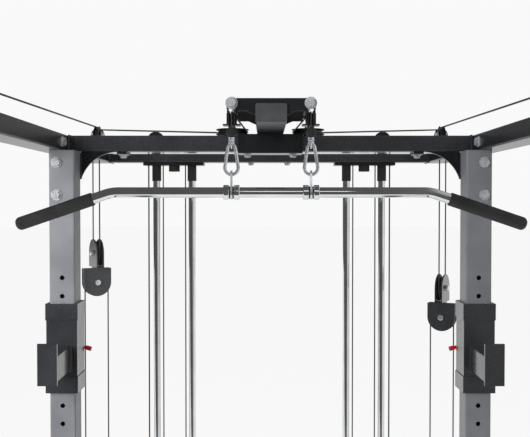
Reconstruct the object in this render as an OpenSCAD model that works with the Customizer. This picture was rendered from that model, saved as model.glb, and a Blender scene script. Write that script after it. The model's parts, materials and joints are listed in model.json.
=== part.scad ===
// Functional trainer on a half rack: two adjustable cable columns, twin weight
// stacks, a high pulley head with its bar, and a pair of bar hooks.
// Millimetres, +Z up, +X to the right of a user who faces the machine (+Y).
// The origin is on the floor, in the middle of the footprint.

/* [Rack] */
// Distance from the middle plane to the centre of a rack upright
upright_x = 568; // [540:1:600]
// Square size of the rack upright tube
upright_w = 70; // [60:1:80]
// Front face of the uprights, from the middle of the footprint
upright_y = 100; // [60:1:140]
// Wall of every frame tube
wall = 3; // [2:0.5:4]
// Outer corner radius of every frame tube
tube_r = 5; // [3:0.5:6]
// Underside of the top beams above the floor
beam_z = 2064; // [1900:1:2200]
// Height of the top beams
beam_h = 46; // [40:1:60]
// Width of the top beams
beam_w = 80; // [70:1:90]
// Distance from the middle plane to the centre of a side beam
side_x = 607; // [600:1:630]
// Diameter of the adjustment holes
hole_d = 13; // [10:0.5:16]
// Pitch of the holes in the uprights
hole_pitch = 50; // [40:1:60]
// Highest hole below the beams
hole_drop = 348; // [300:1:400]
// Holes in each upright
hole_count = 29; // [10:1:29]
// Depth of the cross beam behind the uprights
cross_gap = 5; // [3:1:12]

/* [Base] */
// Half of the footprint depth
base_half = 880; // [870:1:950]
// Height of the base rails
base_h = 50; // [40:1:60]
// Thickness of the rubber feet
foot_h = 8; // [5:1:15]
// Centre of the rear beams, from the middle of the footprint
rear_y = 780; // [760:1:800]
// Depth of the rear beams
rear_d = 60; // [50:1:70]
// Height of the rear top beam
rear_h = 31; // [30:1:46]
// Square size of the cable column tube
column_w = 60; // [50:1:64]
// Centre of the cable columns, in front of the middle of the footprint
column_y = 745; // [700:1:760]

/* [Weight stacks] */
// Distance from the middle plane to the centre of a stack
stack_x = 341; // [330:1:360]
// Distance between the two guide rods of a stack
rod_gap = 127; // [120:1:140]
// Diameter of the guide rods
rod_d = 25; // [20:1:28]
// Width of a weight plate
plate_w = 166; // [160:1:168]
// Depth of a weight plate
plate_d = 110; // [90:1:130]
// Thickness of a weight plate
plate_h = 26; // [20:1:30]
// Plates that stay down on each side
plates_down = 11; // [4:1:14]
// Plates that the selector pin lifts on each side
plates_up = 3; // [1:1:4]
// Diameter of the selector pin
pin_d = 9.5; // [8:0.5:12]

/* [Cables and pulleys] */
// Diameter of the coated cable
cable_d = 5; // [4:0.5:6]
// Outer diameter of the guide pulleys
guide_od = 60; // [56:1:64]
// Outer diameter of the floating and stack pulleys
big_od = 88; // [80:1:94]
// Outer diameter of the flat pulleys on the cross beam
flat_od = 94; // [84:1:100]
// Outer diameter of the pulleys in the lat head
lat_od = 46; // [44:1:48]
// Width of a pulley
pulley_w = 16; // [14:1:20]
// Depth of the rope groove below the rim, to the middle of the cable
groove = 4; // [3.5:0.1:4.5]
// Diameter of the pulley axles
axle_d = 10; // [8:0.5:12]
// Height of the guide pulley centres above the top of the beams
guide_rise = 36; // [35:1:40]
// Height of the base pulley centres above the base rails
base_rise = 38; // [34:1:50]
// Distance from the middle plane to the vertical cables of the columns
column_cable_x = 664; // [660:1:680]
// Distance from the middle plane to a floating pulley block
float_x = 593; // [590:0.5:600]
// Middle of the floating blocks, from the middle of the footprint
float_y = 645; // [630:1:660]
// Turn of a floating block from the side of the machine, in degrees
float_yaw = -28; // [-32:1:-20]
// Height of the lower sheave of the left floating block
float_left_z = 1649; // [1300:1:1680]
// Height of the lower sheave of the right floating block
float_right_z = 1529; // [1300:1:1680]
// Distance between the two sheaves of a floating block
float_span = 100; // [96:1:120]

/* [Lat head] */
// Width of the boom tube
boom_w = 76; // [60:1:80]
// Height of the boom tube
boom_h = 45; // [40:1:50]
// Front end of the boom, in front of the middle of the footprint
boom_front = 145; // [145:1:180]
// Distance from the middle plane to a lat pulley
lat_x = 95; // [90:1:100]
// Plane of the lat bar, in front of the middle of the footprint
bar_y = 154; // [150:1:158]
// Height of the lat bar above the floor
bar_z = 1945; // [1900:1:1946]
// Half of the length of the lat bar
bar_half = 609.5; // [500:0.5:610]
// Diameter of the lat bar
bar_d = 25.4; // [22:0.2:28]
// Start of the bend of the lat bar from its middle
bend_x = 365; // [300:1:380]
// Angle of the bent ends of the lat bar, in degrees
bend_a = 18.8; // [10:0.2:24]
// Width of the saddle that clamps the boom to the cross beam
saddle_w = 182; // [160:1:200]
// Distance from the middle plane to a flat pulley
flat_x = 108; // [104:1:120]

/* [Bar hooks] */
// Outer size of a hook sleeve
sleeve_w = 84; // [82:0.5:88]
// Lower end of the hook sleeves above the floor
sleeve_z = 1402; // [800:1:1420]
// Height of a hook sleeve
sleeve_h = 244; // [200:1:250]
// Length of a hook arm
arm_l = 135; // [100:1:140]
// Width of a hook arm
arm_w = 50; // [40:1:60]
// Height of a hook arm
arm_h = 71; // [50:1:80]
// Height of the lip plate at the end of a hook arm
lip_h = 107; // [95:1:120]

/* [Cable carriages] */
// Outer size of a carriage sleeve
carriage_w = 76; // [74:0.5:80]
// Height of a carriage sleeve
carriage_h = 170; // [160:1:200]
// Middle of the left carriage above the floor
carriage_left_z = 900; // [700:10:1100]
// Middle of the right carriage above the floor
carriage_right_z = 1140; // [700:10:1300]
// Width of the handle
handle_w = 120; // [100:1:124]

/* [Hidden] */
$fn = 48;

LEFT = -1;
RIGHT = 1;
// Clearance between a sliding pair, and of a pin or axle in its bore, on the radius
slip = 0.4;
fit = 0.05;
big_pitch = big_od / 2 - groove;
guide_pitch = guide_od / 2 - groove;
flat_pitch = flat_od / 2 - groove;
lat_pitch = lat_od / 2 - groove;

beam_top = beam_z + beam_h;
rail_z = foot_h + base_h;
cross_y = upright_y + upright_w + cross_gap;
side_in = side_x - beam_w / 2;
guide_z = beam_top + guide_rise;
rear_guide_z = guide_z;
base_z = rail_z + base_rise;
first_hole = beam_z - hole_drop;

// Vertical strands: columns, floating block sheaves and stacks
column_cable_y = -column_y - column_w / 2 - 22;
strand_a = [float_x + big_pitch * sin(float_yaw), float_y - big_pitch * cos(float_yaw)];
strand_b = [float_x - big_pitch * sin(float_yaw), float_y + big_pitch * cos(float_yaw)];
strand_c = [float_x + big_pitch * cos(float_yaw), float_y + big_pitch * sin(float_yaw)];
strand_d = [float_x - big_pitch * cos(float_yaw), float_y - big_pitch * sin(float_yaw)];
stack_in = stack_x - big_pitch;
stack_out = stack_x + big_pitch;
rear_pulley_x = stack_out + guide_pitch;
strand_e = [rear_pulley_x + guide_pitch, rear_y];

// Direction of the run from the corner to the flat pulley, below the -X axis
flat_y = cross_y + beam_w / 2;
flat_lift = 4.5;
flat_z = beam_top + flat_lift + pulley_w / 2;
run_guess = 39;
run_a = atan2(strand_b[1] - flat_y - flat_pitch * cos(run_guess),
              strand_b[0] - flat_x + flat_pitch * sin(run_guess));
// Direction of the run along the floor to the stack, above the -X axis
floor_a = atan2(strand_e[1] - strand_d[1], strand_d[0] - strand_e[0]);
corner_b = [strand_b[0] - guide_pitch * cos(run_a), strand_b[1] - guide_pitch * sin(run_a)];
floor_d = [strand_d[0] - guide_pitch * cos(floor_a), strand_d[1] + guide_pitch * sin(floor_a)];
floor_e = [strand_e[0] + guide_pitch * cos(floor_a), strand_e[1] - guide_pitch * sin(floor_a)];

// Lat head levels
saddle_t = 4;
boom_z = beam_top + saddle_t;
wing_t = 6;
wing_y = [-boom_front + 3, -boom_front + 243];
wing_top = boom_z + boom_h + 13;
pivot_z = wing_top - 12;
lat_pulley_y = -bar_y + lat_pitch;
lat_pulley_z = pivot_z - 40;
ball_d = 23;
ball_z = lat_pulley_z - sqrt(pow(lat_od / 2 + ball_d / 2 + 1, 2) - pow(lat_pitch, 2));
crimp_top = ball_z - ball_d / 2;

// Carabiner: two arcs of wire joined by tangents
wire_d = 8;
snap_top = crimp_top - 19;
snap_r0 = 9;
snap_r1 = 16;
snap_bottom = bar_z + bar_d / 2 + 30;
snap_c0 = snap_top - snap_r0;
snap_c1 = snap_bottom + snap_r1;
snap_a = asin((snap_r1 - snap_r0) / (snap_c0 - snap_c1));

// Stack levels
pad_h = 12;
stack_z = rail_z + pad_h;
split_z = stack_z + plates_down * plate_h;
head_h = 38;
head_z = split_z + plates_up * plate_h;
stack_pulley_z = head_z + head_h + big_od / 2 + 14;
selector_z = split_z + plate_h / 2;
stem_d = 28;

function float_z(s) = s == LEFT ? float_left_z : float_right_z;
function carriage_z(s) = s == LEFT ? carriage_left_z : carriage_right_z;

// Shared shapes

module block(a, b) { translate(a) cube(b - a); }

// Flat outline of w by h with its corners rounded
module rounded(w, h, r = tube_r) {
  translate([r, 0]) square([w - 2 * r, h]);
  translate([0, r]) square([w, h - 2 * r]);
  for (x = [r, w - r], y = [r, h - r]) translate([x, y]) circle(r);
}

// Square tube between two corners, open along one axis (0, 1 or 2)
module tube(a, b, axis, t = wall) {
  size = b - a;
  w = size[axis == 0 ? 1 : 0];
  h = size[axis == 2 ? 1 : 2];
  start = axis == 1 ? [a[0], b[1], a[2]] : a;
  turn = [[90, 0, 90], [90, 0, 0], [0, 0, 0]][axis];
  translate(start) rotate(turn) linear_extrude(size[axis]) difference() {
    rounded(w, h);
    translate([t, t]) square([w - 2 * t, h - 2 * t]);
  }
}

// Everything is drawn for +X; the left side is its mirror image
module side(s) { if (s == LEFT) mirror([1, 0, 0]) children(); else children(); }

// Round rod between two points
module rod(p, q, d) {
  v = q - p;
  l = norm(v);
  translate(p) rotate([0, acos(v[2] / l), atan2(v[1], v[0])]) cylinder(h = l, d = d);
}

// Grooved pulley about Z
module pulley(od) {
  r = od / 2;
  g = r - groove - cable_d / 2 - 0.3;
  w = pulley_w / 2;
  b = axle_d / 2 + fit;
  n = cable_d / 2 + 0.7;
  rotate_extrude()
    polygon([[b, -w], [r - 1, -w], [r, -w + 1], [r, -w + 2], [g, -n], [g, n], [r, w - 2], [r, w - 1],
             [r - 1, w], [b, w]]);
}

// Axle about Z with a hex head and a nut, for a gap of g between the cheeks
cheek_t = 4;
cheek_gap = pulley_w + 2;
module axle(g = cheek_gap) {
  h = g + 2 * cheek_t;
  translate([0, 0, -h / 2]) cylinder(h = h, d = axle_d);
  for (e = [-1, 1]) translate([0, 0, e * (h / 2 + 3.5) - 3.5]) cylinder(h = 7, d = 1.9 * axle_d, $fn = 6);
}

// Open fork for a pulley in the XZ plane: its centre is the axle, its foot is at -drop
module fork(drop, r = 15) {
  for (e = [-1, 1]) translate([0, e * (cheek_gap + cheek_t) / 2, 0]) rotate([90, 0, 0])
    translate([0, 0, -cheek_t / 2]) difference() {
      linear_extrude(cheek_t) union() {
        circle(r);
        translate([-r, -drop]) square([2 * r, drop]);
      }
      translate([0, 0, -1]) cylinder(h = cheek_t + 2, d = axle_d + 2 * fit);
    }
}

// Hex bolt with its washer, head towards +Z from the face at the origin, shank below
module bolt(d = 12, l = 8) {
  cylinder(h = 2.5, d = 2.5 * d);
  translate([0, 0, 2.5]) cylinder(h = 0.65 * d, d = 1.85 * d, $fn = 6);
  translate([0, 0, -l]) cylinder(h = l, d = d);
}

// Quarter, half or other arc of cable in the plane of X and Y, about the origin
module bend(r, a0, a1) {
  rotate([0, 0, a0]) rotate_extrude(angle = a1 - a0) translate([r, 0]) circle(d = cable_d, $fn = 16);
}

// Straight stretch of cable; each stretch and each bend is a closed solid, just clear of its neighbour
stretch_gap = 0.3;
module strand(p, q) {
  u = stretch_gap * (q - p) / norm(q - p);
  rod(p + u, q - u, cable_d, $fn = 16);
}

// Places of the guide pulleys: [centre, turn about Z], each upright with its plane along the turned X
function guide_places() = [
  [[column_cable_x, column_cable_y + guide_pitch, guide_z], 90],
  [[strand_a[0], strand_a[1] - guide_pitch, guide_z], 90],
  [[corner_b[0], corner_b[1], guide_z], run_a],
  [[rear_pulley_x, rear_y, rear_guide_z], 0],
  [[column_cable_x, column_cable_y + guide_pitch, base_z], 90],
  [[strand_c[0], strand_c[1] - guide_pitch, base_z], 90],
  [[floor_d[0], floor_d[1], base_z], -floor_a],
  [[floor_e[0], floor_e[1], base_z], -floor_a]
];
// Level that each fork stands on
function guide_floor(i) = i < 3 ? beam_top : i == 3 ? beam_z + rear_h : rail_z;

// Frame

module base_frame() {
  color("#2b2c2e") {
    for (s = [LEFT, RIGHT]) side(s)
      tube([side_in, -base_half, foot_h], [side_in + beam_w, base_half, rail_z], 1);
    tube([-side_in, rear_y - plate_d / 2, foot_h], [side_in, rear_y + plate_d / 2, rail_z], 0);
  }
}

foot_d = 60;
module foot_pads() {
  color("#1b1b1c") for (s = [LEFT, RIGHT]) side(s)
    for (y = [-base_half + foot_d, upright_y + upright_w / 2, base_half - foot_d])
      translate([side_x, y, 0]) cylinder(h = foot_h, d = foot_d);
}

cap_t = 3;
// Plug in the open end of a tube, drawn at the +Y end of a tube of w by h
module plug(w, h) {
  translate([-w / 2 + wall + slip, -12, -h / 2 + wall + slip])
    cube([w - 2 * (wall + slip), 12, h - 2 * (wall + slip)]);
  translate([-w / 2, cap_t, -h / 2]) rotate([90, 0, 0]) linear_extrude(cap_t) rounded(w, h);
}

module end_caps() {
  color("#161617") {
    for (s = [LEFT, RIGHT], e = [0, 180]) side(s) {
      translate([side_x, e == 0 ? base_half : -base_half, foot_h + base_h / 2]) rotate(e)
        plug(beam_w, base_h);
      translate([side_x, e == 0 ? side_back : -side_front, beam_z + beam_h / 2]) rotate(e)
        plug(beam_w, beam_h);
    }
    translate([0, -boom_front, boom_z + boom_h / 2]) rotate(180) plug(boom_w, boom_h);
    translate([0, boom_back, boom_z + boom_h / 2]) plug(boom_w, boom_h);
  }
}

module uprights() {
  y1 = upright_y + upright_w;
  color("#3a3b3e") for (s = [LEFT, RIGHT]) side(s) difference() {
    tube([upright_x - upright_w / 2, upright_y, rail_z], [upright_x + upright_w / 2, y1, beam_z], 2);
    for (i = [0:hole_count - 1]) translate([upright_x, upright_y - 1, first_hole - i * hole_pitch])
      rotate([-90, 0, 0]) cylinder(h = upright_w + 2, d = hole_d);
    for (z = upright_bolt_z) translate([upright_bolt_x, upright_y - 1, z])
      rotate([-90, 0, 0]) cylinder(h = wall + 2, d = hole_d);
  }
}

column_hole_pitch = 60;
// Lowest hole of a column, in step with the hole that its carriage stands at
function lowest_hole(s) =
  carriage_z(s) - floor((carriage_z(s) - 350) / column_hole_pitch) * column_hole_pitch;
module front_columns() {
  x0 = side_x - column_w / 2;
  y0 = -column_y - column_w / 2;
  color("#3a3b3e") for (s = [LEFT, RIGHT]) side(s) difference() {
    tube([x0, y0, rail_z], [x0 + column_w, y0 + column_w, beam_z], 2);
    for (z = [lowest_hole(s):column_hole_pitch:beam_z - 200]) translate([x0 - 1, -column_y, z])
      rotate([0, 90, 0]) cylinder(h = wall + 2, d = hole_d);
  }
}

side_front = column_y + column_w / 2 + 15;
side_back = rear_y + rear_d / 2;
module side_beams() {
  y_bolt = upright_y + 5;
  color("#2b2c2e") for (s = [LEFT, RIGHT]) side(s) difference() {
    tube([side_in, -side_front, beam_z], [side_in + beam_w, side_back, beam_top], 1);
    for (p = [strand_a, strand_b]) translate([p[0], p[1], beam_z - 1])
      cylinder(h = beam_h + 2, d = cable_d + 3);
    translate([side_in - 1, y_bolt, beam_z + beam_h / 2]) rotate([0, 90, 0])
      cylinder(h = wall + 2, d = hole_d);
  }
}

module cross_beam() {
  color("#2b2c2e") difference() {
    tube([-side_in, cross_y, beam_z], [side_in, cross_y + beam_w, beam_top], 0);
    for (s = [LEFT, RIGHT]) side(s) {
      translate([flat_x, flat_y, beam_z - 1]) cylinder(h = beam_h + 2, d = axle_d + 2 * fit);
      translate([gusset_bolt_x, flat_y, beam_z - 1]) cylinder(h = wall + 2, d = hole_d);
      translate([saddle_bolt_x, flat_y, beam_z - 1]) cylinder(h = wall + 2, d = hole_d);
    }
  }
}

module rear_top_beam() {
  y0 = rear_y - rear_d / 2;
  color("#2b2c2e") difference() {
    tube([-side_in, y0, beam_z], [side_in, y0 + rear_d, beam_z + rear_h], 0);
    for (s = [LEFT, RIGHT]) side(s) {
      for (x = [stack_out, strand_e[0]]) translate([x, rear_y, beam_z - 1])
        cylinder(h = rear_h + 2, d = 16);
      translate([saddle_bolt_x, rear_y, beam_z - 1]) cylinder(h = wall + 2, d = hole_d);
    }
  }
}

// Gusset between upright and cross beam: a web with a concave edge, a curved flange and a foot
gusset_w = 105;
gusset_h = 77;
gusset_t = 6;
gusset_bolt_x = upright_x - upright_w / 2 - gusset_w - 8;
gusset_r = (pow(gusset_w, 2) + pow(gusset_h, 2)) / (2 * gusset_h);
module gussets() {
  x0 = upright_x - upright_w / 2;
  depth = beam_w - 20;
  color("#242527") for (s = [LEFT, RIGHT]) side(s) translate([x0, cross_y, beam_z])
    rotate([90, 0, 0]) difference() {
    union() {
      translate([0, 0, -gusset_t]) linear_extrude(gusset_t) gusset_web(0);
      translate([0, 0, -depth]) linear_extrude(depth) difference() {
        gusset_web(0);
        gusset_web(gusset_t);
      }
      translate([-gusset_w - 24, -gusset_t, -depth]) cube([24.5, gusset_t, depth]);
    }
    translate([gusset_bolt_x - x0, 1, -beam_w / 2]) rotate([90, 0, 0])
      cylinder(h = gusset_t + 2, d = hole_d);
  }
}
// Outline of the web, drawn in by e from its concave edge
module gusset_web(e) {
  difference() {
    translate([-gusset_w, -gusset_h]) square([gusset_w, gusset_h]);
    translate([-gusset_w, -gusset_r]) circle(gusset_r + e, $fn = 96);
  }
}

// Lat head

boom_back = cross_y + beam_w;
module lat_boom() {
  color("#2f3033") tube([-boom_w / 2, -boom_front, boom_z], [boom_w / 2, boom_back, boom_z + boom_h], 1);
}

saddle_bolt_x = 65;
// U-shaped saddle round the top, front and underside of the cross beam
module saddle_plate() {
  y0 = cross_y - saddle_t;
  y1 = cross_y + beam_w;
  x = saddle_w / 2;
  color("#1d1d1f") difference() {
    union() {
      block([-x, y0, beam_z - saddle_t], [x, cross_y, beam_top + saddle_t]);
      block([-boom_w / 2 - 10, y0, beam_top], [boom_w / 2 + 10, y1, beam_top + saddle_t]);
      block([-x, y0, beam_z - saddle_t], [x, y1, beam_z]);
    }
    for (s = [LEFT, RIGHT]) translate([s * saddle_bolt_x, flat_y, beam_z - saddle_t - 1])
      cylinder(h = saddle_t + 2, d = hole_d);
  }
}

// Front and rear wing plates that carry the swivelling lat pulleys
module wing_plates() {
  low = boom_z + 18;
  mid = pivot_z - 11;
  bolt_r = 12;
  color("#242527") for (y = wing_y) translate([0, y + wing_t, 0]) rotate([90, 0, 0])
    linear_extrude(wing_t) difference() {
    union() {
      polygon([[-lat_x, wing_top], [lat_x, wing_top], [lat_x, mid], [60, mid], [boom_w / 2, low],
               [-boom_w / 2, low], [-60, mid], [-lat_x, mid]]);
      for (s = [LEFT, RIGHT]) translate([s * lat_x, pivot_z]) circle(bolt_r);
    }
    translate([-boom_w / 2, boom_z]) square([boom_w, boom_h]);
    for (s = [LEFT, RIGHT]) translate([s * lat_x, pivot_z]) circle(6 + fit);
  }
}

// Swivelling bracket of a lat pulley, hung from the pivot bolt behind the front wing plate
swivel_lug_y = wing_y[0] + wing_t + 1;
module lat_swivel(s) {
  half = cheek_gap / 2;
  outer = half + 3;
  y0 = lat_pulley_y - 17;
  y1 = lat_pulley_y + 20;
  low = lat_pulley_z - 14;
  color("#1b1b1d") side(s) translate([lat_x, 0, 0]) difference() {
    union() {
      for (e = [-1, 1]) {
        block([e > 0 ? half : -outer, y0, low], [e > 0 ? outer : -half, y1, lat_pulley_z + 15]);
        block([e > 0 ? half : -outer, swivel_lug_y, low], [e > 0 ? outer : -half, y1, pivot_z - 7]);
        block([e > 0 ? half : -outer - 9, y0, low], [e > 0 ? outer + 9 : -half, y1, low + 3]);
      }
      block([-outer, swivel_lug_y, pivot_z - 11], [outer, y1, pivot_z - 7]);
      translate([0, swivel_lug_y + 5, pivot_z]) rotate([90, 0, 0]) cylinder(h = 5, r = 13);
      block([-13, swivel_lug_y, pivot_z - 11], [13, swivel_lug_y + 5, pivot_z]);
    }
    translate([0, swivel_lug_y - 1, pivot_z]) rotate([-90, 0, 0]) cylinder(h = 7, r = 6 + fit);
    translate([-outer - 1, lat_pulley_y, lat_pulley_z]) rotate([0, 90, 0])
      cylinder(h = 2 * outer + 2, d = lat_axle_d + 2 * fit);
  }
}

lat_axle_d = axle_d;
// Lat pulley with its axle
module lat_pulley(s) {
  w = cheek_gap + 6;
  color("#151516") side(s) translate([lat_x, lat_pulley_y, lat_pulley_z]) rotate([0, 90, 0]) {
    pulley(lat_od);
    translate([0, 0, -w / 2]) cylinder(h = w, d = lat_axle_d);
  }
}

// Points of one bent half of the lat bar
bar_r = 100;
arc_end = [bend_x + bar_r * sin(bend_a), bar_z - bar_r * (1 - cos(bend_a))];
bar_l = (bar_half - arc_end[0]) / cos(bend_a);
function along_end(l) = [arc_end[0] + l * cos(bend_a), -bar_y, arc_end[1] - l * sin(bend_a)];
module lat_bar() {
  color("#c9ccd0") {
    rod([-bend_x, -bar_y, bar_z], [bend_x, -bar_y, bar_z], bar_d);
    for (s = [LEFT, RIGHT]) side(s) {
      translate([bend_x, -bar_y, bar_z - bar_r]) rotate([90, 0, 0]) rotate(90 - bend_a)
        rotate_extrude(angle = bend_a) translate([bar_r, 0]) circle(d = bar_d);
      rod(along_end(0), along_end(bar_l - 5), bar_d);
    }
  }
}

grip_d = 32;
grip_start = 32;
module lat_grips() {
  color("#1a1a1b") for (s = [LEFT, RIGHT]) side(s) difference() {
    union() {
      rod(along_end(grip_start), along_end(bar_l - 4), grip_d);
      rod(along_end(bar_l - 4.5), along_end(bar_l), grip_d - 5);
    }
    rod(along_end(grip_start - 1), along_end(bar_l - 5), bar_d + 2 * fit);
  }
}

// Eye plates on the bar, each between two collars
collar_d = 36;
collar_l = 16.5;
eye_t = 5;
module bar_eyes() {
  color("#b9bcc0") for (s = [LEFT, RIGHT]) side(s) translate([lat_x, -bar_y, bar_z])
    rotate([0, 90, 0]) difference() {
    union() {
      translate([0, 0, -eye_t / 2]) cylinder(h = eye_t, d = collar_d);
      translate([-(snap_bottom - bar_z), 0, -eye_t / 2]) cylinder(h = eye_t, d = 20);
      translate([-(snap_bottom - bar_z), -10, -eye_t / 2]) cube([snap_bottom - bar_z, 20, eye_t]);
      for (e = [-1, 1]) translate([0, 0, e * (eye_t + collar_l) / 2 + e * 0.6 - collar_l / 2])
        cylinder(h = collar_l, d = collar_d);
      translate([0, 0, -eye_t]) cylinder(h = 2 * eye_t, d = bar_d + 4);
    }
    translate([0, 0, -40]) cylinder(h = 80, d = bar_d + 2 * fit);
    translate([-(snap_bottom - bar_z), 0, -eye_t]) cylinder(h = 2 * eye_t, d = wire_d * sqrt(2) + 1);
  }
}

// Pear-shaped snap hooks in the plane of the bar, forged with a flat section
module pear(e) {
  dx0 = (snap_r0 + e) * cos(snap_a);
  dx1 = (snap_r1 + e) * cos(snap_a);
  z0 = snap_c0 + (snap_r0 + e) * sin(snap_a);
  z1 = snap_c1 + (snap_r1 + e) * sin(snap_a);
  translate([0, snap_c0]) circle(snap_r0 + e);
  translate([0, snap_c1]) circle(snap_r1 + e);
  polygon([[dx0, z0], [-dx0, z0], [-dx1, z1], [dx1, z1]]);
}
module carabiners() {
  color("#aeb2b6") for (s = [LEFT, RIGHT]) side(s) translate([lat_x, wire_d / 2 - bar_y, 0])
    rotate([90, 0, 0])
    linear_extrude(wire_d) difference() {
      pear(wire_d / 2);
      pear(-wire_d / 2);
    }
}

// Ball stops, crimped sleeves and the thimble loops that hold the snap hooks
loop_d = 4;
loop_r = wire_d / sqrt(2) + loop_d / 2 + 0.6;
module cable_ends() {
  color("#202021") for (s = [LEFT, RIGHT]) side(s) translate([lat_x, -bar_y, 0]) {
    translate([0, 0, ball_z]) difference() {
      sphere(d = ball_d);
      cylinder(h = ball_d + 2, d = cable_d + 2 * fit, center = true);
    }
    translate([0, 0, snap_top + loop_r - 1]) cylinder(h = crimp_top - snap_top - loop_r + 1.5, d = 13);
    translate([0, 0, snap_top]) rotate([0, 90, 0]) rotate_extrude() translate([loop_r, 0])
      circle(d = loop_d);
  }
}

// Weight stacks

top_plate_w = 215;
top_plate_t = 10;
module stack_top_plates() {
  y0 = rear_y - rear_d / 2;
  color("#242527") for (s = [LEFT, RIGHT]) side(s) difference() {
    block([stack_x - top_plate_w / 2, y0, beam_z - top_plate_t],
      [stack_x + top_plate_w / 2, y0 + rear_d, beam_z]);
    for (x = [stack_out, strand_e[0]]) translate([x, rear_y, beam_z - top_plate_t - 1])
      cylinder(h = top_plate_t + 2, d = 16);
  }
}

module on_rods() {
  for (s = [LEFT, RIGHT]) side(s) for (e = [-1, 1]) translate([stack_x + e * rod_gap / 2, rear_y, 0])
    children();
}

module guide_rods() {
  color("#d4d7da") on_rods() translate([0, 0, rail_z])
    cylinder(h = beam_z - top_plate_t - rail_z, d = rod_d);
}

// Rubber: pads under the stacks, sleeves and a stop below the top plates
module stack_bumpers() {
  top = beam_z - top_plate_t;
  stop_h = 21;
  sleeve_l = 55;
  color("#161617") {
    on_rods() difference() {
      union() {
        translate([0, 0, rail_z]) cylinder(h = pad_h, d = rod_d + 22);
        translate([0, 0, top - sleeve_l]) cylinder(h = sleeve_l, d = rod_d + 7);
      }
      translate([0, 0, rail_z - 1]) cylinder(h = beam_z - rail_z, d = rod_d + 2 * fit);
    }
    for (s = [LEFT, RIGHT]) translate([s * stack_x, rear_y, top - stop_h]) cylinder(h = stop_h, d = 39);
  }
}

// One weight plate with its bottom at z: bores for the rods and the stem, and a selector hole
module weight_plate(z, h = plate_h) {
  gap = 0.3;
  translate([stack_x, rear_y, z]) difference() {
    translate([-plate_w / 2, -plate_d / 2, 0]) cube([plate_w, plate_d, h - gap]);
    for (e = [-1, 1]) translate([e * rod_gap / 2, 0, -1]) cylinder(h = h + 2, d = rod_d + 2 * slip);
    translate([0, 0, -1]) cylinder(h = h + 2, d = stem_d + 2 * slip);
    translate([0, -plate_d / 2 - 1, plate_h / 2]) rotate([-90, 0, 0])
      cylinder(h = plate_d / 2 + 1, d = pin_d + 2 * slip);
  }
}

module weight_stacks() {
  color("#2a2b2d") for (s = [LEFT, RIGHT]) side(s)
    for (i = [0:plates_down - 1]) weight_plate(stack_z + i * plate_h);
}

// Lifted part of a stack: head with its fork, selector stem and the plates above the pin
module stack_head(s) {
  drop = stack_pulley_z - head_z - head_h;
  color("#303134") side(s) {
    for (i = [0:plates_up - 1]) weight_plate(split_z + i * plate_h);
    difference() {
      union() {
        translate([stack_x - plate_w / 2, rear_y - plate_d / 2, head_z]) cube([plate_w, plate_d, head_h]);
        translate([stack_x, rear_y, stack_z + 6]) cylinder(h = head_z - stack_z, d = stem_d);
        translate([stack_x, rear_y, stack_pulley_z]) fork(drop + 1);
      }
      for (e = [-1, 1]) translate([stack_x + e * rod_gap / 2, rear_y, head_z - 1])
        cylinder(h = head_h + 2, d = rod_d + 2 * slip);
      for (i = [0:plates_down + plates_up - 1])
        translate([stack_x, rear_y - stem_d, stack_z + (i + 0.5) * plate_h]) rotate([-90, 0, 0])
          cylinder(h = 2 * stem_d, d = pin_d + 2 * slip);
    }
    translate([stack_x, rear_y, stack_pulley_z]) rotate([90, 0, 0]) axle();
  }
}

module stack_pulley(s) {
  color("#151516") side(s) translate([stack_x, rear_y, stack_pulley_z]) rotate([90, 0, 0]) pulley(big_od);
}

module selector_pin(s) {
  front = rear_y - plate_d / 2;
  color("#a11d1f") side(s) translate([stack_x, front, selector_z]) rotate([-90, 0, 0]) {
    translate([0, 0, -8]) cylinder(h = plate_d / 2 + stem_d / 2 + 6, d = pin_d);
    translate([0, 0, -30]) cylinder(h = 23, d = 26);
    translate([0, 0, -36]) cylinder(h = 7, d = 34);
  }
}

// Pulleys, forks and fasteners of the frame

module at_guides() {
  places = guide_places();
  for (s = [LEFT, RIGHT]) side(s) for (i = [0:len(places) - 1])
    translate(places[i][0]) rotate(places[i][1]) {
      $i = i;
      children();
    }
}

module guide_pulleys() {
  color("#151516") {
    at_guides() rotate([90, 0, 0]) pulley(guide_od);
    for (s = [LEFT, RIGHT]) side(s) translate([flat_x, flat_y, flat_z]) pulley(flat_od);
  }
}

// Forks; five of them stand on a foot plate that reaches back onto the tube that carries them
foot_plate_t = 4;
module pulley_brackets() {
  places = guide_places();
  reach = 18;
  feet = [
    [0, side_x - reach, column_cable_x + reach],
    [1, strand_a[0] - reach, side_x + reach],
    [2, corner_b[0] - reach, side_x + reach],
    [4, side_x + column_w / 2 + 2, column_cable_x + reach],
    [6, floor_d[0] - reach, side_in + 2 * reach]
  ];
  color("#1f2022") difference() {
    union() {
      at_guides() fork(places[$i][0][2] - guide_floor($i));
      for (s = [LEFT, RIGHT], f = feet) side(s) {
        y = places[f[0]][0][1];
        z = guide_floor(f[0]);
        block([f[1], y - reach, z], [f[2], y + reach, z + foot_plate_t]);
      }
    }
    for (s = [LEFT, RIGHT], p = [strand_a, strand_b]) side(s)
      translate([p[0], p[1], beam_top - 1]) cylinder(h = guide_rise, d = cable_d + 9);
  }
}

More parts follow.
